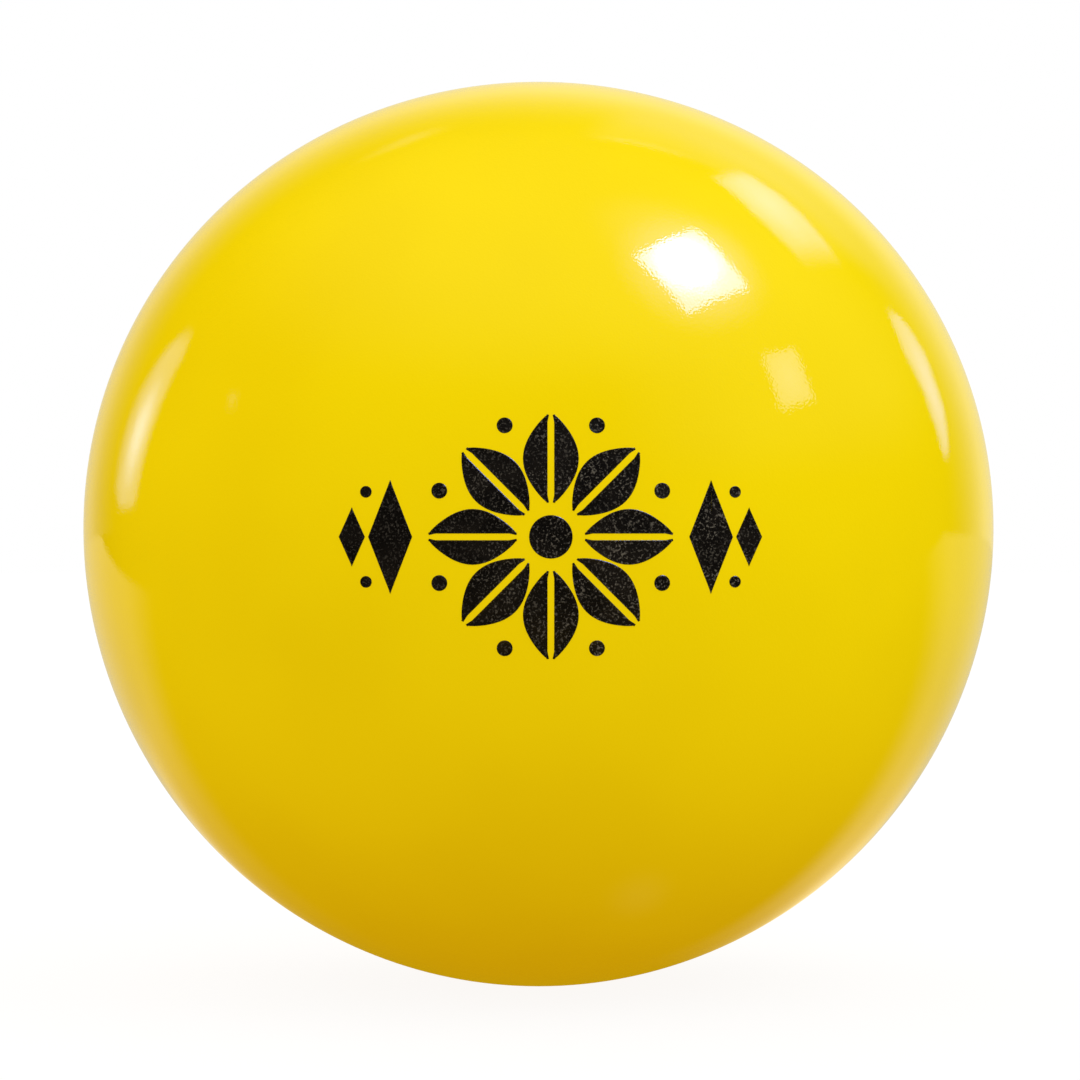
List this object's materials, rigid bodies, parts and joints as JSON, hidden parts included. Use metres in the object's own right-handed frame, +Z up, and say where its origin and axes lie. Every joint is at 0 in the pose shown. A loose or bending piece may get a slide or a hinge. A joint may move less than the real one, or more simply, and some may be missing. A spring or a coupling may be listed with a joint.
{
  "type": "vinyl ball",
  "caption": "Round hollow vinyl play ball, seamless and glossy, with a moulded-in valve seat at the back and a ribbed push-in stopper that pulls straight out.",
  "frame": {"origin": "middle of the ball", "axes": "+Z up from the rest patch, +Y out along the valve's axis, so the printed front faces -Y and +X is to its right as seen"},
  "size_m": [0.15, 0.1497, 0.1488],
  "materials": {
    "ball_vinyl": "glossy soft vinyl with a very fine orange peel",
    "seat_vinyl": "satin vinyl",
    "stopper_plastic": "satin, natural white"
  },
  "bodies": {
    "ball": {"ball_skin": "ball_vinyl", "valve_seat": "seat_vinyl"},
    "stopper": {"valve_stopper": "stopper_plastic"}
  },
  "joints": [
    {"name": "stopper_pull", "type": "slide", "parent": "ball", "child": "stopper", "axis": [0, 1, 0], "range_m": [0, 0.018]}
  ]
}
